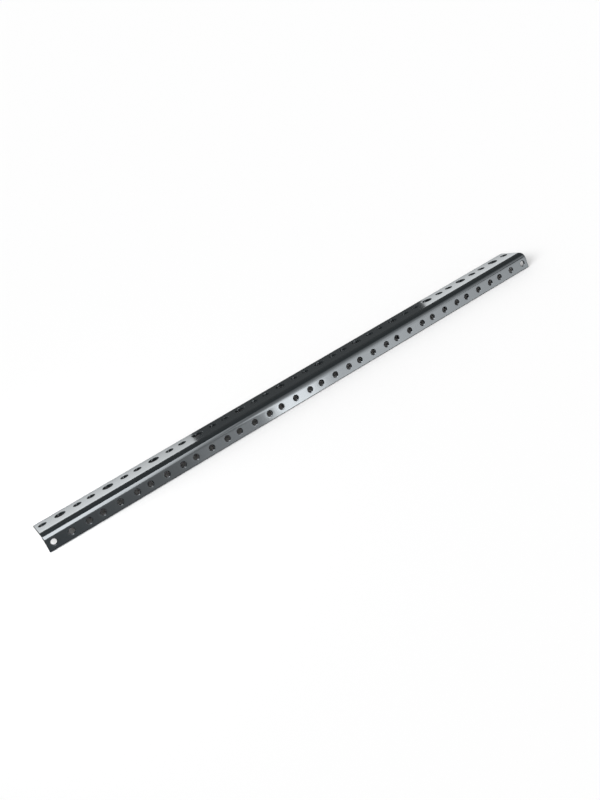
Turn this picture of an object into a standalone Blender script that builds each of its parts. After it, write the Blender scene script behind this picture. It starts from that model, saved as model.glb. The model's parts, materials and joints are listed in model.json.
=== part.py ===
"""Rack mounting rail: one length of steel sheet, folded once into an L and punched for a 12-unit rack.

The rail is drawn in the frame of its own section: X along the rail, Y along the wide leg,
Z up, with the two outer faces meeting on the X axis. One empty then lays it down as it comes
to rest on a level floor, like a low tent on the free edges of its two legs.
"""
import math

import bmesh
import bpy

MM = 0.001

# Rack grid: a rack unit holds three holes, and the gap between units is the short one.
RACK_UNIT = 44.45 * MM
UNIT_COUNT = 12
HOLES_PER_UNIT = 3
PITCH_ACROSS_UNITS = 12.7 * MM

# Folded section.
SHEET = 2.0 * MM
NARROW_LEG = 15.875 * MM
WIDE_LEG = 34.925 * MM
INSIDE_BEND_RADIUS = 4.0 * MM
EDGE_BREAK = 0.25 * MM

# Punched holes: tapped for equipment screws in the narrow leg, plain in the wide leg. The wide
# leg's middle hole of each rack unit is the large one.
TAPPED_BORE = 5.1 * MM
TAPPED_COUNTERSINK = 0.4 * MM
TAPPED_LINE_FROM_FREE_EDGE = 6.35 * MM
PLAIN_BORE = 7.1 * MM
LARGE_BORE = 9.5 * MM
PLAIN_LINE_FROM_FREE_EDGE = 11.1125 * MM

# Facets.
BEND_STEPS = 10
TAPPED_SIDES = 20
PLAIN_SIDES = 24
LARGE_SIDES = 28

RAIL_LENGTH = UNIT_COUNT * RACK_UNIT
OUTSIDE_BEND_RADIUS = INSIDE_BEND_RADIUS + SHEET
PITCH_IN_UNIT = (RACK_UNIT - PITCH_ACROSS_UNITS) / (HOLES_PER_UNIT - 1)
REST_TILT = math.atan2(NARROW_LEG - SHEET, WIDE_LEG - SHEET)


def clear_objects():
    for item in list(bpy.data.objects):
        bpy.data.objects.remove(item, do_unlink=True)


def bend_arc(radius, start_deg, end_deg):
    """Points of the fold, which turns about one centre inside the corner."""
    points = []
    for step in range(BEND_STEPS + 1):
        angle = math.radians(start_deg + (end_deg - start_deg) * step / BEND_STEPS)
        y = OUTSIDE_BEND_RADIUS + radius * math.cos(angle)
        z = -OUTSIDE_BEND_RADIUS + radius * math.sin(angle)
        points.append((y, z))
    return points


def section_outline():
    """The L in (y, z), from the narrow leg's free edge over the fold to the wide leg's and back."""
    outline = [(EDGE_BREAK, -NARROW_LEG), (0.0, EDGE_BREAK - NARROW_LEG)]
    outline += bend_arc(OUTSIDE_BEND_RADIUS, 180.0, 90.0)
    outline += [(WIDE_LEG - EDGE_BREAK, 0.0), (WIDE_LEG, -EDGE_BREAK)]
    outline += [(WIDE_LEG, EDGE_BREAK - SHEET), (WIDE_LEG - EDGE_BREAK, -SHEET)]
    outline += bend_arc(INSIDE_BEND_RADIUS, 90.0, 180.0)
    outline += [(SHEET, EDGE_BREAK - NARROW_LEG), (SHEET - EDGE_BREAK, -NARROW_LEG)]
    return outline


def hole_stations(holes_in_unit):
    """Places along the rail of the given holes of every unit, with the same grid on both legs."""
    stations = []
    for unit in range(UNIT_COUNT):
        first = unit * RACK_UNIT + PITCH_ACROSS_UNITS / 2 - RAIL_LENGTH / 2
        for hole in holes_in_unit:
            stations.append(first + hole * PITCH_IN_UNIT)
    return stations


def object_from_bmesh(name, shape, parent):
    mesh = bpy.data.meshes.new(name)
    bmesh.ops.recalc_face_normals(shape, faces=shape.faces)
    shape.to_mesh(mesh)
    shape.free()
    mesh.shade_smooth()
    mesh.set_sharp_from_angle(angle=math.radians(30.0))
    item = bpy.data.objects.new(name, mesh)
    bpy.context.scene.collection.objects.link(item)
    item.parent = parent
    return item


def make_folded_sheet(parent):
    """The section's outline, drawn out to the rail's length."""
    shape = bmesh.new()
    corners = [shape.verts.new((-RAIL_LENGTH / 2, y, z)) for y, z in section_outline()]
    end_face = shape.faces.new(corners)
    drawn = bmesh.ops.extrude_face_region(shape, geom=[end_face])
    far_end = [part for part in drawn["geom"] if isinstance(part, bmesh.types.BMVert)]
    bmesh.ops.translate(shape, verts=far_end, vec=(RAIL_LENGTH, 0.0, 0.0))
    return object_from_bmesh("mounting_rail", shape, parent)


def plain_profile(bore):
    """Depth and radius of a plain punch, measured from the middle of the sheet."""
    return [(-SHEET, bore / 2), (SHEET, bore / 2)]


def tapped_profile():
    """Depth and radius of a tap drill with a 45 degree countersink at each face."""
    bore = TAPPED_BORE / 2
    straight = SHEET / 2 - TAPPED_COUNTERSINK
    cone = SHEET - straight
    return [(-SHEET, bore + cone), (-straight, bore), (straight, bore), (SHEET, bore + cone)]


def punch_ring(shape, station, line, stroke, depth, radius, sides):
    """One ring of corners round a hole's axis, at a depth along the punch's stroke."""
    ring = []
    for step in range(sides):
        angle = 2 * math.pi * step / sides
        across = radius * math.sin(angle)
        y = line[0] + across * stroke[1] + depth * stroke[0]
        z = line[1] - across * stroke[0] + depth * stroke[1]
        ring.append(shape.verts.new((station + radius * math.cos(angle), y, z)))
    return ring


def make_punches(name, stations, profile, sides, line, stroke, parent):
    """One row of turned punches that pass through a leg, one at every station."""
    shape = bmesh.new()
    for station in stations:
        rings = [punch_ring(shape, station, line, stroke, depth, radius, sides) for depth, radius in profile]
        shape.faces.new(rings[0])
        shape.faces.new(rings[-1])
        for near, far in zip(rings, rings[1:]):
            for step in range(sides):
                after = (step + 1) % sides
                shape.faces.new((near[step], near[after], far[after], far[step]))
    punches = object_from_bmesh(name, shape, parent)
    punches.hide_render = True
    punches.display_type = "WIRE"
    return punches


def punch(rail, punches):
    cut = rail.modifiers.new(punches.name, "BOOLEAN")
    cut.operation = "DIFFERENCE"
    cut.solver = "EXACT"
    cut.object = punches


def make_coating():
    """Glossy black powder coat over steel."""
    coating = bpy.data.materials.new("black_coated_steel")
    coating.use_nodes = True
    shader = coating.node_tree.nodes["Principled BSDF"]
    shader.inputs["Base Color"].default_value = (0.018, 0.022, 0.024, 1.0)
    shader.inputs["Roughness"].default_value = 0.22
    shader.inputs["Metallic"].default_value = 0.0
    return coating


def lay_down(pose):
    """Tip the section so that both free edges touch the floor, and centre it over the origin."""
    cos_tilt = math.cos(REST_TILT)
    sin_tilt = math.sin(REST_TILT)
    turned = [(y * cos_tilt + z * sin_tilt, z * cos_tilt - y * sin_tilt) for y, z in section_outline()]
    across = [point[0] for point in turned]
    heights = [point[1] for point in turned]
    pose.rotation_euler = (-REST_TILT, 0.0, 0.0)
    pose.location = (0.0, -(min(across) + max(across)) / 2, -min(heights))


def main():
    clear_objects()
    pose = bpy.data.objects.new("resting_pose", None)
    bpy.context.scene.collection.objects.link(pose)
    rail = make_folded_sheet(pose)
    narrow_line = (SHEET / 2, TAPPED_LINE_FROM_FREE_EDGE - NARROW_LEG)
    wide_line = (WIDE_LEG - PLAIN_LINE_FROM_FREE_EDGE, -SHEET / 2)
    along_y = (1.0, 0.0)
    along_z = (0.0, 1.0)
    every = hole_stations(range(HOLES_PER_UNIT))
    middle = hole_stations([HOLES_PER_UNIT // 2])
    outer = [station for station in every if station not in middle]
    plain = plain_profile(PLAIN_BORE)
    large = plain_profile(LARGE_BORE)
    punch(rail, make_punches("tapped_row", every, tapped_profile(), TAPPED_SIDES, narrow_line, along_y, pose))
    punch(rail, make_punches("plain_row", outer, plain, PLAIN_SIDES, wide_line, along_z, pose))
    punch(rail, make_punches("large_row", middle, large, LARGE_SIDES, wide_line, along_z, pose))
    rail.data.materials.append(make_coating())
    lay_down(pose)


main()
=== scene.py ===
# %% [markdown]
# # A rack mounting rail, finished in glossy black
#
# The object is one length of steel strip. It was punched flat with two rows of round holes, folded
# once into an L, tapped along one row and coated glossy black all over. This lesson makes the rail the
# way the workshop does: a flat blank first, with its holes, and the fold after that. Then come the
# coating, the studio and the camera.

import json
import math

import bpy
import numpy as np
from mathutils import Matrix, Vector


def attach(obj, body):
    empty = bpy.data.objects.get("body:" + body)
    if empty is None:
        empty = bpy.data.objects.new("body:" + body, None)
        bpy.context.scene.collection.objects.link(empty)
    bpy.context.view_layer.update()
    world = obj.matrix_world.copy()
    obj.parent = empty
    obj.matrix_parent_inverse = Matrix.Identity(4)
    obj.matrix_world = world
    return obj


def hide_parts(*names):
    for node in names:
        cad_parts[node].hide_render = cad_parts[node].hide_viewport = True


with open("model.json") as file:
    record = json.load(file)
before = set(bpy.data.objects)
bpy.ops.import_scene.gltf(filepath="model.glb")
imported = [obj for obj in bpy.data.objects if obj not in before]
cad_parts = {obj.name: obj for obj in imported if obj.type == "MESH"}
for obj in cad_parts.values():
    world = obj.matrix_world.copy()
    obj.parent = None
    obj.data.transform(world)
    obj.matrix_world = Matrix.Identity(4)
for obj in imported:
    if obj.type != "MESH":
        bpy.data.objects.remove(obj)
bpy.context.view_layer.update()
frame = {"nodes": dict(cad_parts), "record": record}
MM = 0.001

# %% [markdown]
# ## Where the rail lies
#
# The rail rests like a low tent on the free edges of its two legs, so none of its faces is level.
# Two records of flat faces say how it lies: one point and one outward direction for each leg. The two
# faces are square to each other, and the line where they would meet is the best ruler for an angle
# section. Everything below is measured from that line, and one matrix lays the finished rail down.

# %% Find the corner line of the section
leg_faces = {mount["name"]: mount for mount in frame["record"]["mounts"]}


def face_of(name):
    return Vector(leg_faces[name]["pos_m"]), Vector(leg_faces[name]["axis"]).normalized()


wide_point, wide_outward = face_of("wide_leg_face")
narrow_point, narrow_outward = face_of("narrow_leg_face")
corner_line = wide_point + narrow_outward * (narrow_point - wide_point).dot(narrow_outward)
across_wide_leg = -narrow_outward
lay_down = Matrix((Vector((1.0, 0.0, 0.0)), across_wide_leg, wide_outward)).transposed().to_4x4()
lay_down.translation = corner_line
print("tilt of the wide leg:", round(math.degrees(math.acos(wide_outward.z)), 3), "degrees")

# %% [markdown]
# ## The three sizes of the section
#
# The length and the two legs are measured on the fixed rail, turned back into the directions of its own
# section: x along the rail, y across the wide leg, and z up the narrow leg.

# %% Measure the two legs and the length
cad_rail = frame["nodes"]["mounting_rail"]
in_section = [lay_down.inverted() @ vertex.co for vertex in cad_rail.data.vertices]
RAIL_LENGTH = max(p.x for p in in_section) - min(p.x for p in in_section)
WIDE_LEG = max(p.y for p in in_section)
NARROW_LEG = -min(p.z for p in in_section)
sizes = (RAIL_LENGTH, WIDE_LEG, NARROW_LEG)
print("length, wide leg, narrow leg in mm:", [round(size / MM, 3) for size in sizes])

# %% [markdown]
# ## Folding is a map
#
# A press brake bends the strip round a die without changing its length along the middle of the sheet.
# That makes the fold a simple map from the flat blank to the finished section. A point of the blank
# has three numbers: x along the rail, u across the strip and w through the sheet, which is zero on the
# outer face. The middle of the sheet is walked step by step, turning as it goes, and every other point
# stands square to it. Most of the turn is one tight arc. The last few degrees are spread over a few
# millimetres of the wide leg, where the sheet had curved faintly before it met the die's shoulder. The
# rest of that leg keeps a crown of one degree, about 0.06 mm high. Faint curves like these are easy to
# see in a glossy coating, because the mirrored room slides along them at once.

# %% How far the sheet turns
SHEET = 2.0 * MM
INSIDE_BEND_RADIUS = 4.0 * MM
MID_RADIUS = INSIDE_BEND_RADIUS + SHEET / 2
CROWN_TURN = math.radians(1.0)
SHOULDER_TURN = math.radians(5.0)
SHOULDER_LENGTH = 4.0 * MM
ARC_TURN = math.pi / 2 - CROWN_TURN / 2 - SHOULDER_TURN
ARC_LENGTH = MID_RADIUS * ARC_TURN
SHOULDER_END = ARC_LENGTH + SHOULDER_LENGTH
CROWN_LENGTH = 25.0 * MM


def turn_after(length):
    """How far the sheet has turned after this length from the fold's start."""
    return np.interp(
        length,
        [0.0, ARC_LENGTH, SHOULDER_END, SHOULDER_END + CROWN_LENGTH],
        [0.0, ARC_TURN, ARC_TURN + SHOULDER_TURN, ARC_TURN + SHOULDER_TURN + CROWN_TURN],
    )


turns = [round(math.degrees(turn), 1) for turn in (ARC_TURN, SHOULDER_TURN, CROWN_TURN)]
print("tight arc, shoulder and crown in degrees:", turns)

# %% [markdown]
# ## A walk along the middle of the sheet
#
# The curve could be written as arcs with a formula for each. Adding up small steps in the direction that
# the sheet has there is simpler, and it takes any turn. The level of the wide leg is set halfway between
# the top of its crown and its far edge, so that its outer face lies in the frame's plane on the whole.

# %% Walk along the middle of the sheet
WALK_STEPS = 8000
walk = np.linspace(0.0, SHOULDER_END + WIDE_LEG, WALK_STEPS + 1)


def walked(direction):
    """Running sum of a direction along the walk, by the trapezium rule."""
    steps = (direction[1:] + direction[:-1]) / 2 * np.diff(walk)
    return np.concatenate(([0.0], np.cumsum(steps)))


walk_across = walked(np.sin(turn_after(walk)))
walk_up = walked(np.cos(turn_after(walk)))
walk_to_far_edge = np.interp(WIDE_LEG - SHEET / 2, walk_across, walk)
wide_leg_level = (walk_up.max() + np.interp(walk_to_far_edge, walk, walk_up)) / 2
FOLD_START = NARROW_LEG - SHEET / 2 - wide_leg_level
SHOULDER_LINE = FOLD_START + SHOULDER_END
BLANK_WIDTH = FOLD_START + walk_to_far_edge
crown_height = (walk_up.max() - wide_leg_level) * 2
print("width of the flat blank in mm:", round(BLANK_WIDTH / MM, 2))
print("height of the crown in mm:", round(crown_height / MM, 3))

# %% [markdown]
# ## The map from blank to section
#
# Up to the start of the fold the sheet runs straight up the narrow leg. From there the walk says where
# its middle is, and the turn says which way its thickness points.

# %% The fold as a function
def folded(blank):
    """Turn points (x, u, w) of the flat blank into points (x, y, z) of the angle section."""
    x, u, w = np.asarray(blank).T
    from_fold = u - FOLD_START
    turn = turn_after(from_fold)
    from_middle = w + SHEET / 2
    y = SHEET / 2 + np.interp(from_fold, walk, walk_across)
    z = np.interp(from_fold, walk, walk_up) - SHEET / 2 - wide_leg_level + np.minimum(from_fold, 0.0)
    return np.column_stack((x, y - from_middle * np.cos(turn), z + from_middle * np.sin(turn)))


far_edge = folded([(0.0, BLANK_WIDTH, 0.0)])[0]
print("far edge of the wide leg, y and z in mm:", [round(value / MM, 3) for value in far_edge[1:]])

# %% [markdown]
# ## The rack grid
#
# Rack equipment is held at three holes in every rack unit of 44.45 mm. Two pitches inside the unit are
# equal and the one across to the next unit is the short one, so the row looks slightly uneven, just as
# it does in a real rack. Both legs carry the same row: tapped for equipment screws in the narrow leg,
# plain in the wide leg, where screws fasten the rail to its cabinet. There the middle hole of each
# unit is larger than its two neighbours.

# %% Stations of the holes
RACK_UNIT = 44.45 * MM
HOLES_PER_UNIT = 3
PITCH_ACROSS_UNITS = 12.7 * MM
PITCH_IN_UNIT = (RACK_UNIT - PITCH_ACROSS_UNITS) / (HOLES_PER_UNIT - 1)
unit_count = round(RAIL_LENGTH / RACK_UNIT)
first_in_unit = [unit * RACK_UNIT + PITCH_ACROSS_UNITS / 2 - RAIL_LENGTH / 2 for unit in range(unit_count)]
stations = [first + hole * PITCH_IN_UNIT for first in first_in_unit for hole in range(HOLES_PER_UNIT)]
print("rack units:", unit_count, "holes in each leg:", len(stations))

# %% [markdown]
# ## A grid that makes room for round holes
#
# A circle in a grid of squares is the usual trouble of sheet work in mesh code. Here every hole gets a
# rectangular window in the grid. The grid lines through a window are spaced by the tangent of even
# angles, so that they point at even steps round the circle. One ring of quads then joins the window
# to the hole, and the rest of the sheet stays a plain grid with no odd corners. A window's reach is the
# way from the middle of its hole to its rim.

# %% Grid lines of the blank
HOLE_SIDES = 40
HALF_WINDOW = HOLE_SIDES // 8
WINDOW_LINES = 2 * HALF_WINDOW + 1
window_spread = np.tan(np.arange(-HALF_WINDOW, HALF_WINDOW + 1) * 2 * math.pi / HOLE_SIDES)
EDGE_ROUND = 0.43 * MM
REACH_ALONG = 5.6 * MM
REACH_ACROSS_WIDE = 5.6 * MM
REACH_ACROSS_NARROW = 3.45 * MM
TAPPED_LINE = 6.35 * MM
PLAIN_LINE_FROM_FAR_EDGE = 11.1125 * MM
PLAIN_LINE = BLANK_WIDTH - PLAIN_LINE_FROM_FAR_EDGE
ARC_STEPS = 16
SHOULDER_STEPS = 5
CROWN_STEPS = 3
FOLD_STEPS = ARC_STEPS + SHOULDER_STEPS + CROWN_STEPS
plain_window_edge = PLAIN_LINE - REACH_ACROSS_WIDE * window_spread[-1]
fold_lines = np.concatenate((
    np.linspace(FOLD_START, FOLD_START + ARC_LENGTH, ARC_STEPS, endpoint=False),
    np.linspace(FOLD_START + ARC_LENGTH, SHOULDER_LINE, SHOULDER_STEPS, endpoint=False),
    np.linspace(SHOULDER_LINE, plain_window_edge, CROWN_STEPS + 1, endpoint=False),
))
lines_along = np.concatenate(
    [[-RAIL_LENGTH / 2 + EDGE_ROUND]]
    + [station + REACH_ALONG * window_spread for station in stations]
    + [[RAIL_LENGTH / 2 - EDGE_ROUND]]
)
lines_across = np.concatenate((
    [EDGE_ROUND],
    TAPPED_LINE + REACH_ACROSS_NARROW * window_spread,
    fold_lines,
    PLAIN_LINE + REACH_ACROSS_WIDE * window_spread,
    [BLANK_WIDTH - EDGE_ROUND],
))
print("grid lines along and across:", len(lines_along), len(lines_across))

# %% [markdown]
# ## Points and faces of the blank
#
# The mesh is collected as two plain lists, points of the blank and faces that name them. Each face
# runs round the same way as seen from outside the steel, so all normals point outward without a repair
# afterwards. A dictionary remembers the grid points already made, because a window leaves out the ones
# inside it.

# %% Collect points and faces
points = []
faces = []
grid_points = {}
OUTER_FACE = 0.0
INNER_FACE = -SHEET


def add_point(x, u, w):
    points.append((x, u, w))
    return len(points) - 1


def grid_point(i, j, w):
    if (i, j, w) not in grid_points:
        grid_points[(i, j, w)] = add_point(lines_along[i], lines_across[j], w)
    return grid_points[(i, j, w)]


def join_rings(ring, next_ring):
    """A closed band of quads between two rings with as many points each."""
    count = len(ring)
    for k in range(count):
        after = (k + 1) % count
        faces.append((ring[k], ring[after], next_ring[after], next_ring[k]))


print("outer and inner face at w in mm:", round(OUTER_FACE / MM, 1), round(INNER_FACE / MM, 1))

# %% [markdown]
# ## Plain cells of both faces
#
# Every cell outside the windows becomes one quad on the outer face and one on the inner face. The inner
# one runs round backwards, because its outside is the other side of the sheet.

# %% Lay the plain cells of both faces
TAPPED_WINDOW_START = 1
PLAIN_WINDOW_START = TAPPED_WINDOW_START + WINDOW_LINES + FOLD_STEPS + 1


def in_window_along(i):
    return i >= 1 and (i - 1) % WINDOW_LINES < WINDOW_LINES - 1 and i < len(lines_along) - 2


def in_window_across(j):
    starts = (TAPPED_WINDOW_START, PLAIN_WINDOW_START)
    return any(start <= j < start + WINDOW_LINES - 1 for start in starts)


for i in range(len(lines_along) - 1):
    for j in range(len(lines_across) - 1):
        if in_window_along(i) and in_window_across(j):
            continue
        cell = ((i, j), (i + 1, j), (i + 1, j + 1), (i, j + 1))
        faces.append(tuple(grid_point(a, b, OUTER_FACE) for a, b in cell))
        faces.append(tuple(grid_point(a, b, INNER_FACE) for a, b in reversed(cell)))
print("plain cells on both faces:", len(faces))

# %% [markdown]
# ## Rounded rims, countersinks and threads
#
# No edge of a coated part is sharp: the punch leaves a small radius and the coating adds to it. That
# radius is what catches the light round each hole, so it is real geometry. A hole is then a stack of
# rings from the outer face to the inner one. The plain holes get a quarter round at each face.

# %% Rings of a plain hole
PLAIN_BORE = 7.1 * MM
LARGE_BORE = 9.5 * MM
PLAIN_RIM = 0.3 * MM
RIM_STEPS = 4


def plain_rings(bore):
    """Pairs of depth and radius for a bore with a quarter round at each face."""
    steps = [math.pi / 2 * step / RIM_STEPS for step in range(RIM_STEPS + 1)]
    rim = [(PLAIN_RIM * (1 - math.cos(a)), bore / 2 + PLAIN_RIM * (1 - math.sin(a))) for a in steps]
    return rim + [(SHEET - depth, radius) for depth, radius in reversed(rim)]


print("rings in a plain hole:", len(plain_rings(PLAIN_BORE)))

# %% [markdown]
# ## Countersink and thread
#
# The tapped holes get a small countersink and a screw thread, whose groove climbs with the angle round
# the hole. The tap cuts outward from the bore, so each ring takes whichever reaches further out, the
# countersink or the groove. Near each face a lip rounds the countersink's edge, and there the thread has
# run out. A groove's half width and its flank are shares of one turn of the thread.

# %% Rings of a tapped hole
TAPPED_BORE = 5.1 * MM
COUNTERSINK = 0.4 * MM
LIP = 0.12 * MM
THREAD_PITCH = 1.0 * MM
THREAD_MAJOR = 6.0 * MM
GROOVE_HALF = 0.375
FLANK = 0.3125
THREAD_ROWS = 14
FIRST_THREAD_ROW = 1.7 * LIP
ring_angles = np.arange(HOLE_SIDES) * 2 * math.pi / HOLE_SIDES


def countersink_beyond_bore(depth):
    lip = LIP * max(1 - depth / LIP, 0.0) ** 2
    return max(COUNTERSINK - depth, 0.0) + lip


def thread_beyond_bore(depth):
    turn = (depth / THREAD_PITCH + ring_angles / (2 * math.pi)) % 1.0
    groove = np.clip((GROOVE_HALF - np.abs(turn - 0.5)) / FLANK, 0.0, 1.0)
    return (THREAD_MAJOR - TAPPED_BORE) / 2 * groove


def tapped_rings():
    """Pairs of depth and radii, where the countersink or the thread reaches further from the bore."""
    lip_rows = [0.0, LIP / 6, LIP / 2, LIP]
    rows = lip_rows + list(np.linspace(FIRST_THREAD_ROW, SHEET - FIRST_THREAD_ROW, THREAD_ROWS))
    rows += [SHEET - depth for depth in reversed(lip_rows)]
    rings = []
    for depth in rows:
        from_face = min(depth, SHEET - depth)
        thread = thread_beyond_bore(depth) * (from_face >= LIP)
        beyond = np.maximum(thread, countersink_beyond_bore(from_face))
        rings.append((depth, TAPPED_BORE / 2 + beyond))
    return rings


tapped_profile = tapped_rings()
print("rings in a tapped hole:", len(tapped_profile))

# %% [markdown]
# ## Every window gets its hole
#
# The rim of a window is walked in as many steps as the hole has sides, so each step has its partner on
# the first ring of the hole. From there the rings are joined one below the other down through the sheet,
# and the last one is joined to the window's rim on the inner face.

# %% Punch and tap every window
def window_step(k):
    """How many grid lines the window's rim lies from its middle, at step k round the hole."""
    from_start = abs((k + HOLE_SIDES // 2) % HOLE_SIDES - HOLE_SIDES // 2)
    return max(-HALF_WINDOW, min(HALF_WINDOW, HOLE_SIDES // 4 - from_start))


def window_rim(i_middle, j_middle, w):
    rim = []
    for k in range(HOLE_SIDES):
        along = i_middle + window_step(k)
        across = j_middle + window_step(k - HOLE_SIDES // 4)
        rim.append(grid_point(along, across, w))
    return rim


def make_hole(station_index, line, j_middle, profile):
    i_middle = 1 + station_index * WINDOW_LINES + HALF_WINDOW
    previous = window_rim(i_middle, j_middle, OUTER_FACE)
    for depth, radius in profile:
        x = stations[station_index] + radius * np.cos(ring_angles)
        u = line + radius * np.sin(ring_angles)
        ring = [add_point(x[k], u[k], -depth) for k in range(HOLE_SIDES)]
        join_rings(previous, ring)
        previous = ring
    join_rings(previous, window_rim(i_middle, j_middle, INNER_FACE))


for index in range(len(stations)):
    in_the_middle = index % HOLES_PER_UNIT == HOLES_PER_UNIT // 2
    plain_profile = plain_rings(LARGE_BORE if in_the_middle else PLAIN_BORE)
    make_hole(index, TAPPED_LINE, TAPPED_WINDOW_START + HALF_WINDOW, tapped_profile)
    make_hole(index, PLAIN_LINE, PLAIN_WINDOW_START + HALF_WINDOW, plain_profile)
print("faces with all holes:", len(faces))

# %% [markdown]
# ## Sheared edges
#
# The strip was sheared to width and to length. A coated edge is round enough to show a thin line of
# light along the whole rail, so the rim of the grid is carried over in the same quarter rounds as the
# holes, with mitred corners where two sheared edges meet.

# %% Close the blank round its rim
def blank_rim():
    """The outermost grid lines in order round the blank, as pairs of line numbers."""
    last_i = len(lines_along) - 1
    last_j = len(lines_across) - 1
    rim = [(i, 0) for i in range(last_i)]
    rim += [(last_i, j) for j in range(last_j)]
    rim += [(i, last_j) for i in range(last_i, 0, -1)]
    rim += [(0, j) for j in range(last_j, 0, -1)]
    return rim


def outward(line_number, last_line):
    return int(line_number == last_line) - int(line_number == 0)


def edge_ring(reach, depth):
    ring = []
    for i, j in blank_rim():
        x = lines_along[i] + reach * outward(i, len(lines_along) - 1)
        u = lines_across[j] + reach * outward(j, len(lines_across) - 1)
        ring.append(add_point(x, u, -depth))
    return ring


quarter = [math.pi / 2 * step / RIM_STEPS for step in range(1, RIM_STEPS + 1)]
round_over = [(EDGE_ROUND * math.sin(a), EDGE_ROUND * (1 - math.cos(a))) for a in quarter]
edge_profile = round_over + [(reach, SHEET - depth) for reach, depth in reversed(round_over)]
previous_ring = [grid_point(i, j, OUTER_FACE) for i, j in blank_rim()]
for reach, depth in edge_profile:
    ring = edge_ring(reach, depth)
    join_rings(ring, previous_ring)
    previous_ring = ring
join_rings([grid_point(i, j, INNER_FACE) for i, j in blank_rim()], previous_ring)
print("points and faces of the whole blank:", len(points), len(faces))

# %% [markdown]
# ## Fold it and lay it down
#
# The map from above folds all points at once, and the matrix puts the section where the fixed frame
# has it. Smooth shading would normally bleed the rounded rims into the flat faces. The Weighted Normal
# modifier lets the large faces decide, so the flats stay flat and only the rims are round.

# %% Make the rail object
SHARP_ANGLE = math.radians(50.0)
rail_mesh = bpy.data.meshes.new("coated_rail")
rail_mesh.from_pydata(folded(points).tolist(), [], faces)
rail_mesh.transform(lay_down)
rail_mesh.shade_smooth()
rail_mesh.set_sharp_from_angle(angle=SHARP_ANGLE)
rail = bpy.data.objects.new("coated_rail", rail_mesh)
bpy.context.scene.collection.objects.link(rail)
even_shading = rail.modifiers.new("flat_faces_stay_flat", "WEIGHTED_NORMAL")
even_shading.keep_sharp = True
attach(rail, "root")
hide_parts("mounting_rail")
print("triangles:", sum(len(face) - 2 for face in faces))

# %% [markdown]
# ## Glossy black coating
#
# The coating is a thin baked layer of black paint: nearly no diffuse colour, and a clear gloss that
# shows the room. Its colour leans a little to blue-green. Up close a baked coating is never a perfect
# mirror. It has a soft waviness of a millimetre or two, called orange peel, and its gloss varies a
# little in broad patches. Each of the two is a noise in the rail's own space, so neither needs a UV map.

# %% Noise for the waviness and the patches
PEEL_SIZE = 1.6 * MM
PEEL_DETAIL = 2.0
PATCH_SIZE = 18.0 * MM
PATCH_DETAIL = 3.0


def noise_texture(nodes, links, coordinates, size, detail):
    noise = nodes.new("ShaderNodeTexNoise")
    noise.inputs["Scale"].default_value = 1.0 / size
    noise.inputs["Detail"].default_value = detail
    links.new(coordinates.outputs["Object"], noise.inputs["Vector"])
    return noise


print("waviness and patches in mm:", round(PEEL_SIZE / MM, 1), round(PATCH_SIZE / MM, 1))

# %% [markdown]
# ## One shader for the whole rail
#
# The patches move the roughness a little to either side of its middle value. The waviness is a bump, as
# it is far too shallow to be worth any mesh. Colour and metal are the same all over, so they are set on
# the shader itself.

# %% Coating material
COATING_COLOUR = (0.018, 0.022, 0.024, 1.0)
ROUGHNESS_MIDDLE = 0.06
ROUGHNESS_VARIATION = 0.02
PEEL_STRENGTH = 0.14
PEEL_DEPTH = 0.03 * MM


def make_coating():
    coating = bpy.data.materials.new("glossy_black_coating")
    coating.use_nodes = True
    nodes, links = coating.node_tree.nodes, coating.node_tree.links
    shader = nodes["Principled BSDF"]
    shader.inputs["Base Color"].default_value = COATING_COLOUR
    shader.inputs["Metallic"].default_value = 0.0
    coordinates = nodes.new("ShaderNodeTexCoord")
    patches = noise_texture(nodes, links, coordinates, PATCH_SIZE, PATCH_DETAIL)
    roughness = nodes.new("ShaderNodeMapRange")
    roughness.inputs["To Min"].default_value = ROUGHNESS_MIDDLE - ROUGHNESS_VARIATION
    roughness.inputs["To Max"].default_value = ROUGHNESS_MIDDLE + ROUGHNESS_VARIATION
    links.new(patches.outputs["Fac"], roughness.inputs["Value"])
    links.new(roughness.outputs["Result"], shader.inputs["Roughness"])
    peel = noise_texture(nodes, links, coordinates, PEEL_SIZE, PEEL_DETAIL)
    bump = nodes.new("ShaderNodeBump")
    bump.inputs["Strength"].default_value = PEEL_STRENGTH
    bump.inputs["Distance"].default_value = PEEL_DEPTH
    links.new(peel.outputs["Fac"], bump.inputs["Height"])
    links.new(bump.outputs["Normal"], shader.inputs["Normal"])
    return coating


rail_mesh.materials.append(make_coating())
print("materials on the rail:", [m.name for m in rail_mesh.materials])

# %% [markdown]
# ## A white floor
#
# The rail lies on a plain white floor, matt enough to show nothing but the soft shadow. A glossy black
# part is only as good as what it mirrors, and a white floor in its mirror would turn it grey, so the
# floor is left out of glossy rays.

# %% White floor
FLOOR_SIZE = 12.0
FLOOR_COLOUR = (0.93, 0.93, 0.93, 1.0)


def make_floor():
    half = FLOOR_SIZE / 2
    mesh = bpy.data.meshes.new("floor")
    corners = [(-half, -half, 0.0), (half, -half, 0.0), (half, half, 0.0), (-half, half, 0.0)]
    mesh.from_pydata(corners, [], [(0, 1, 2, 3)])
    floor = bpy.data.objects.new("floor", mesh)
    bpy.context.scene.collection.objects.link(floor)
    paint = bpy.data.materials.new("white_floor")
    paint.use_nodes = True
    shader = paint.node_tree.nodes["Principled BSDF"]
    shader.inputs["Base Color"].default_value = FLOOR_COLOUR
    shader.inputs["Roughness"].default_value = 1.0
    shader.inputs["Specular IOR Level"].default_value = 0.0
    mesh.materials.append(paint)
    floor.visible_glossy = False


make_floor()
print("floor is", FLOOR_SIZE, "m wide, and reflections don't see it")

# %% [markdown]
# ## Daylight from the world
#
# The world lights everything evenly, and the camera sees it as pure white. Reflections are another
# matter. In them the room is kept dim, so that the light cards below can be drawn into it one by one.

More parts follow.
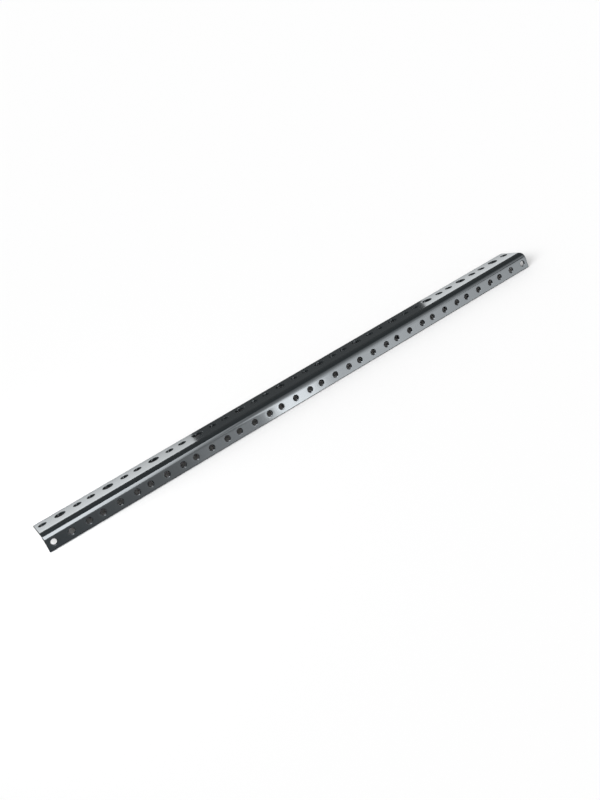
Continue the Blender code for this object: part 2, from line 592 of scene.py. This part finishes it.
# %% World light
WORLD_COLOUR = (1.0, 1.0, 1.0, 1.0)
WORLD_LEVEL = 0.80
SEEN_LEVEL = 1.0
MIRRORED_ROOM = 0.1


def make_world():
    world = bpy.data.worlds.new("studio")
    bpy.context.scene.world = world
    world.use_nodes = True
    nodes, links = world.node_tree.nodes, world.node_tree.links
    background = nodes["Background"]
    path = nodes.new("ShaderNodeLightPath")
    level = nodes.new("ShaderNodeMix")
    level.data_type = "FLOAT"
    level.inputs["A"].default_value = WORLD_LEVEL
    level.inputs["B"].default_value = MIRRORED_ROOM
    links.new(path.outputs["Is Glossy Ray"], level.inputs["Factor"])
    seen = nodes.new("ShaderNodeMix")
    seen.data_type = "FLOAT"
    seen.inputs["B"].default_value = SEEN_LEVEL
    links.new(path.outputs["Is Camera Ray"], seen.inputs["Factor"])
    links.new(level.outputs["Result"], seen.inputs["A"])
    background.inputs["Color"].default_value = WORLD_COLOUR
    links.new(seen.outputs["Result"], background.inputs["Strength"])


make_world()
print("world as light, to the camera, in reflections:", WORLD_LEVEL, SEEN_LEVEL, MIRRORED_ROOM)

# %% [markdown]
# ## A soft key light and a small lamp at the open end
#
# A broad, far lamp stands past the left end, about 30 degrees up. It gives the rail its soft shadow and
# lights the floor the same from end to end. The first tapped hole is the one hole that shows white floor
# behind it. It is close enough to the open end for a small lamp to reach the floor under it, at a slope
# that leaves the floor under the second hole dark. Both lamps are kept out of reflections, which the
# cards below draw.

# %% Key light and end lamp
KEY_FROM = Vector((-0.85, -0.10, 0.52))
KEY_STRENGTH = 1.6
KEY_SPREAD = math.radians(30.0)
FLOOR_SPOT = Vector((-260.0, -10.0, 0.0)) * MM
END_LAMP_PLACE = FLOOR_SPOT + Vector((-75.0, -2.0, 75.0)) * MM
END_LAMP_SIZE = 20.0 * MM
END_LAMP_WATTS = 0.06


def place_lamp(lamp, place, comes_from):
    lamp_object = bpy.data.objects.new(lamp.name, lamp)
    lamp_object.location = place
    lamp_object.rotation_euler = comes_from.to_track_quat("Z", "Y").to_euler()
    lamp_object.visible_camera = False
    lamp_object.visible_glossy = False
    bpy.context.scene.collection.objects.link(lamp_object)


key_light = bpy.data.lights.new("key_light", "SUN")
key_light.energy = KEY_STRENGTH
key_light.angle = KEY_SPREAD
place_lamp(key_light, KEY_FROM, KEY_FROM)
end_lamp = bpy.data.lights.new("end_lamp", "AREA")
end_lamp.energy = END_LAMP_WATTS
end_lamp.size = END_LAMP_SIZE
place_lamp(end_lamp, END_LAMP_PLACE, END_LAMP_PLACE - FLOOR_SPOT)
print("end lamp stands", round((END_LAMP_PLACE - FLOOR_SPOT).length / MM), "mm from its spot on the floor")

# %% [markdown]
# ## The camera
#
# The camera looks down on the rail from the left and from the narrow leg's side. It is rolled to the
# right, so that the rail climbs across the upright picture. The three turns are easiest to read one
# after the other: the heading, the look downward and the roll about the line of sight.

# %% Camera
CAMERA_PLACE = Vector((-297.6, -560.45, 487.55)) * MM
HEADING = math.radians(-27.148)
LOOK_DOWN = math.radians(38.473)
ROLL = math.radians(-13.114)
LENS_MM = 39.34
NEAREST_SEEN = 10.0 * MM

camera_data = bpy.data.cameras.new("camera")
camera_data.lens = LENS_MM
camera_data.clip_start = NEAREST_SEEN
camera = bpy.data.objects.new("camera", camera_data)
camera.matrix_world = (
    Matrix.Translation(CAMERA_PLACE)
    @ Matrix.Rotation(HEADING, 4, "Z")
    @ Matrix.Rotation(math.pi / 2 - LOOK_DOWN, 4, "X")
    @ Matrix.Rotation(ROLL, 4, "Z")
)
bpy.context.scene.collection.objects.link(camera)
bpy.context.scene.camera = camera
bpy.context.scene.view_settings.view_transform = "Standard"
print("camera stands", round(CAMERA_PLACE.length, 3), "m from the rail's middle")

# %% [markdown]
# ## Where a card has to stand
#
# A glossy black face shows whatever lies along the mirrored line of sight. That line is easy to work
# out: take the direction from a point of the face to the camera and flip it about the face's outward
# direction. Where it meets the plane of a card is the spot of the card that shows at that point. So
# each card is painted by stations along the rail, and this function turns a station into a place.

# %% Follow the mirrored line of sight
def seen_in(section_point, outward, station, card_plane):
    """Where the camera looks, by way of the face, on the plane x . normal = reach."""
    normal, reach = card_plane
    x_along = station - RAIL_LENGTH / 2
    point = lay_down @ Vector((x_along, section_point[0], section_point[1]))
    view = (CAMERA_PLACE - point).normalized()
    mirrored = 2 * view.dot(outward) * outward - view
    return point + mirrored * (reach - point.dot(normal)) / mirrored.dot(normal)


CARD_DISTANCE = 1.5
SHARE_OF_LEG = 0.6
WIDE_MIDDLE = (SHARE_OF_LEG * WIDE_LEG, 0.0)
NARROW_MIDDLE = (0.0, -SHARE_OF_LEG * NARROW_LEG)
BACK_PLANE = (Vector((0.0, 1.0, 0.0)), CARD_DISTANCE)
FRONT_PLANE = (Vector((0.0, -1.0, 0.0)), CARD_DISTANCE)
OVERHEAD_PLANE = (Vector((0.0, 0.0, 1.0)), CARD_DISTANCE)
for station in (0.0, RAIL_LENGTH / 2, RAIL_LENGTH):
    back = seen_in(WIDE_MIDDLE, wide_outward, station, BACK_PLANE)
    front = seen_in(NARROW_MIDDLE, narrow_outward, station, FRONT_PLANE)
    seen_places = [[round(v, 2) for v in place] for place in (back, front)]
    print("station in mm:", round(station / MM), "sees behind and in front, in m:", seen_places)

# %% [markdown]
# ## Cards that the coating mirrors
#
# Each flat leg mirrors a narrow strip of the room. The wide leg looks to the back, just under the
# horizon, and the narrow leg to the front, just over it. A product photographer stands cards exactly
# there: a broad one behind the rail with a dark gap in its middle, and a shaded one in front with one
# bright spot. The fold turns through everything between them, so a card overhead draws the bright line
# along it. A card is one flat quad with a glow painted along its lower edge and another along its upper
# edge, and each height between them mixes the two.

# %% Glow painted along an edge
def glow_along(nodes, links, axis_x, places, levels, tint):
    """An emission whose brightness goes from level to level along the card."""
    ramp = nodes.new("ShaderNodeValToRGB")
    glow = nodes.new("ShaderNodeEmission")
    brightest = max(levels)
    for index, (place, level) in enumerate(zip(places, levels)):
        position = (place - places[0]) / (places[-1] - places[0])
        stop = ramp.color_ramp.elements[index] if index < 2 else ramp.color_ramp.elements.new(position)
        stop.position = position
        stop.color = [channel * level / brightest for channel in tint] + [1.0]
    glow.inputs["Strength"].default_value = brightest
    links.new(axis_x, ramp.inputs["Fac"])
    links.new(ramp.outputs["Color"], glow.inputs["Color"])
    return glow.outputs["Emission"]


# %% [markdown]
# ## Two glows mixed by height
#
# Generated coordinates run from 0 to 1 over the card's own box, whatever its size. X picks the place
# along the card in both glows, and Z, which is the height, mixes the lower glow with the upper one.

# %% Paint of a card
def paint_card(name, stops, tint):
    """Stops are places along the card, each with its brightness at the lower and the upper edge."""
    paint = bpy.data.materials.new(name)
    paint.use_nodes = True
    nodes, links = paint.node_tree.nodes, paint.node_tree.links
    nodes.clear()
    coordinates = nodes.new("ShaderNodeTexCoord")
    split = nodes.new("ShaderNodeSeparateXYZ")
    by_height = nodes.new("ShaderNodeMixShader")
    output = nodes.new("ShaderNodeOutputMaterial")
    places, lower_levels, upper_levels = zip(*stops)
    links.new(coordinates.outputs["Generated"], split.inputs["Vector"])
    links.new(split.outputs["Z"], by_height.inputs["Fac"])
    links.new(glow_along(nodes, links, split.outputs["X"], places, lower_levels, tint), by_height.inputs[1])
    links.new(glow_along(nodes, links, split.outputs["X"], places, upper_levels, tint), by_height.inputs[2])
    links.new(by_height.outputs["Shader"], output.inputs["Surface"])
    return paint


# %% [markdown]
# ## A card that only reflections see
#
# The card is a mesh, and not an area lamp, so its brightness can change from place to place. It neither
# lights anything by diffuse light nor casts a shadow, and the camera looks through it.

# %% Shaded light card
def light_card(name, lower_edge, upper_edge, stops, tint):
    """A flat card whose stops reach from one end of its edges to the other."""
    mesh = bpy.data.meshes.new(name)
    mesh.from_pydata([*lower_edge, *reversed(upper_edge)], [], [(0, 1, 2, 3)])
    mesh.materials.append(paint_card(name, stops, tint))
    card = bpy.data.objects.new(name, mesh)
    bpy.context.scene.collection.objects.link(card)
    card.visible_camera = False
    card.visible_diffuse = False
    card.visible_shadow = False
    print(name, "reaches from", round(stops[0][0], 2), "to", round(stops[-1][0], 2), "m")


def stops_at(shades, section_point, outward, card_plane):
    """Turn stations of the rail in mm into places on a card."""
    stops = []
    for station, *levels in shades:
        place = seen_in(section_point, outward, station * MM, card_plane).x
        stops.append((place, *levels))
    return stops


# %% [markdown]
# ## The card behind the rail
#
# The wide leg is light at both ends and nearly black in its middle, with a sharp change between them.
# Each shade below is a station of the rail in millimetres, the brightness at the card's lower edge and
# the brightness at its upper edge. The two differ, which gives the leg its slow change of light from
# the fold to the far edge.

# %% Card behind the rail
BACK_TINT = (0.94, 0.978, 1.0)
BACK_TOP_LEFT = 0.01
BACK_TOP_RIGHT = -0.04
BACK_BOTTOM = -0.24
BACK_SHADES = (
    (-60.0, 0.97, 4.85), (80.0, 0.93, 4.65), (149.5, 0.75, 3.75), (151.0, 0.09, 0.18),
    (414.5, 0.09, 0.18), (416.0, 0.75, 3.75), (600.0, 0.66, 3.3),
)
back_stops = stops_at(BACK_SHADES, WIDE_MIDDLE, wide_outward, BACK_PLANE)
back_low, back_high = back_stops[0][0], back_stops[-1][0]
light_card(
    "back_card",
    ((back_low, CARD_DISTANCE, BACK_BOTTOM), (back_high, CARD_DISTANCE, BACK_BOTTOM)),
    ((back_low, CARD_DISTANCE, BACK_TOP_LEFT), (back_high, CARD_DISTANCE, BACK_TOP_RIGHT)),
    back_stops, BACK_TINT,
)

# %% [markdown]
# ## The card in front of the rail
#
# The narrow leg goes from nearly black at the left to one bright spot and fades slowly to the right.
# The card is high, because the lower part of the fold mirrors it too.

# %% Card in front of the rail
FRONT_TINT = (0.90, 0.955, 1.0)
FRONT_BOTTOM = -0.3
FRONT_TOP = 1.13
FRONT_SHADES = (
    (-80.0, 0.45, 0.8), (10.0, 0.45, 0.8), (70.0, 1.1, 1.7), (125.0, 2.15, 2.1), (150.0, 4.2, 1.9),
    (208.0, 5.4, 1.1), (229.0, 22.5, 10.5), (258.0, 20.3, 10.0), (285.0, 10.2, 6.3), (350.0, 9.8, 5.8),
    (440.0, 7.0, 6.3), (620.0, 4.7, 5.0),
)
front_stops = stops_at(FRONT_SHADES, NARROW_MIDDLE, narrow_outward, FRONT_PLANE)
front_low, front_high = front_stops[0][0], front_stops[-1][0]
light_card(
    "front_card",
    ((front_low, -CARD_DISTANCE, FRONT_BOTTOM), (front_high, -CARD_DISTANCE, FRONT_BOTTOM)),
    ((front_low, -CARD_DISTANCE, FRONT_TOP), (front_high, -CARD_DISTANCE, FRONT_TOP)),
    front_stops, FRONT_TINT,
)

# %% [markdown]
# ## The card over the rail
#
# The bright line along the fold is this card. It is set out on the line of the fold that faces 59 degrees
# away from the wide leg's own direction, and the fold point is about where that line runs in the
# section. The card leans up towards the front, so that it has a height of its own for the mix of its
# two glows. Its edges are given as y and z in metres.

# %% Card over the rail
FOLD_HIGHLIGHT = math.radians(59.0)
highlight_outward = wide_outward * math.cos(FOLD_HIGHLIGHT) + narrow_outward * math.sin(FOLD_HIGHLIGHT)
FOLD_POINT = (1.5 * MM, -2.5 * MM)
OVERHEAD_NEAR = (-2.15, 1.6)
OVERHEAD_FAR = (-0.05, 1.4)
OVERHEAD_SHADES = (
    (-80.0, 18.5, 18.5), (30.0, 17.5, 17.5), (90.0, 12.7, 13.5), (140.0, 6.3, 7.7), (190.0, 1.7, 3.1),
    (250.0, 0.95, 6.4), (350.0, 1.0, 6.1), (600.0, 0.4, 7.4),
)
overhead_stops = stops_at(OVERHEAD_SHADES, FOLD_POINT, highlight_outward, OVERHEAD_PLANE)
over_low, over_high = overhead_stops[0][0], overhead_stops[-1][0]
light_card(
    "overhead_card",
    ((over_low, *OVERHEAD_FAR), (over_high, *OVERHEAD_FAR)),
    ((over_low, *OVERHEAD_NEAR), (over_high, *OVERHEAD_NEAR)),
    overhead_stops, FRONT_TINT,
)

# %% [markdown]
# ## Wings for the other views
#
# Seen from elsewhere, the same faces mirror other parts of the room, and the dim room alone would make
# the coating look dull. Two wings stand beside the cards, one past each end of the rail, where the
# camera of this picture never looks by way of a leg. They shade off towards the floor and the front.
# Each wing is given by its two ends, and each end by its foot on the floor and its two levels.

# %% Wings past both ends
WING_TOP = 1.5
WING_DIM = (0.16, 0.8)
WING_BRIGHT = (0.52, 2.6)
LEFT_WING = (((-2.0, -0.4), WING_DIM), ((-0.9, 1.6), WING_BRIGHT))
RIGHT_WING = (((2.1, 1.6), WING_BRIGHT), ((3.2, -0.4), WING_DIM))
for name, ends in (("left_wing", LEFT_WING), ("right_wing", RIGHT_WING)):
    lower_edge = [(*foot, 0.0) for foot, levels in ends]
    upper_edge = [(*foot, WING_TOP) for foot, levels in ends]
    wing_stops = [(foot[0], *levels) for foot, levels in ends]
    light_card(name, lower_edge, upper_edge, wing_stops, FRONT_TINT)
